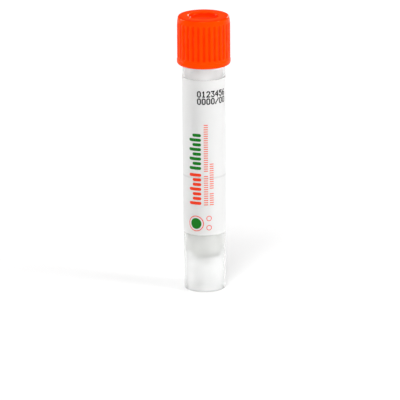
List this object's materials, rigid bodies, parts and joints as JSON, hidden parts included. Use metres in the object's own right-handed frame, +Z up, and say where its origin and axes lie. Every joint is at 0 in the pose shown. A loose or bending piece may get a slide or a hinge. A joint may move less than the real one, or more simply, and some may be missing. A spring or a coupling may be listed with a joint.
{
  "type": "specimen swab tube",
  "caption": "Self-standing screw-cap specimen transport tube with conical floor, wrap label, liquid medium and a fluted plug-seal cap that catches a swab stick.",
  "frame": {"origin": "centre of the ring that the tube stands on, on the surface it stands on", "axes": "+Z up along the tube, from the foot to the cap; -Y is the front, where the label's print is; +Y is the back, where the label leaves its open strip"},
  "size_m": [0.0158, 0.0158, 0.0822],
  "materials": {
    "tube": "natural translucent polypropylene, as moulded",
    "cap": "orange polypropylene, satin as moulded",
    "label": "white satin film",
    "medium": "clear, slightly cloudy liquid"
  },
  "bodies": {
    "tube_body": {"tube": "tube", "label": "label", "medium": "medium"},
    "cap_body": {"cap": "cap"}
  },
  "joints": [
    {"name": "cap_lift", "type": "slide", "parent": "tube_body", "child": "cap_body", "axis": [0, 0, 1], "range_m": [0, 0.02]}
  ]
}
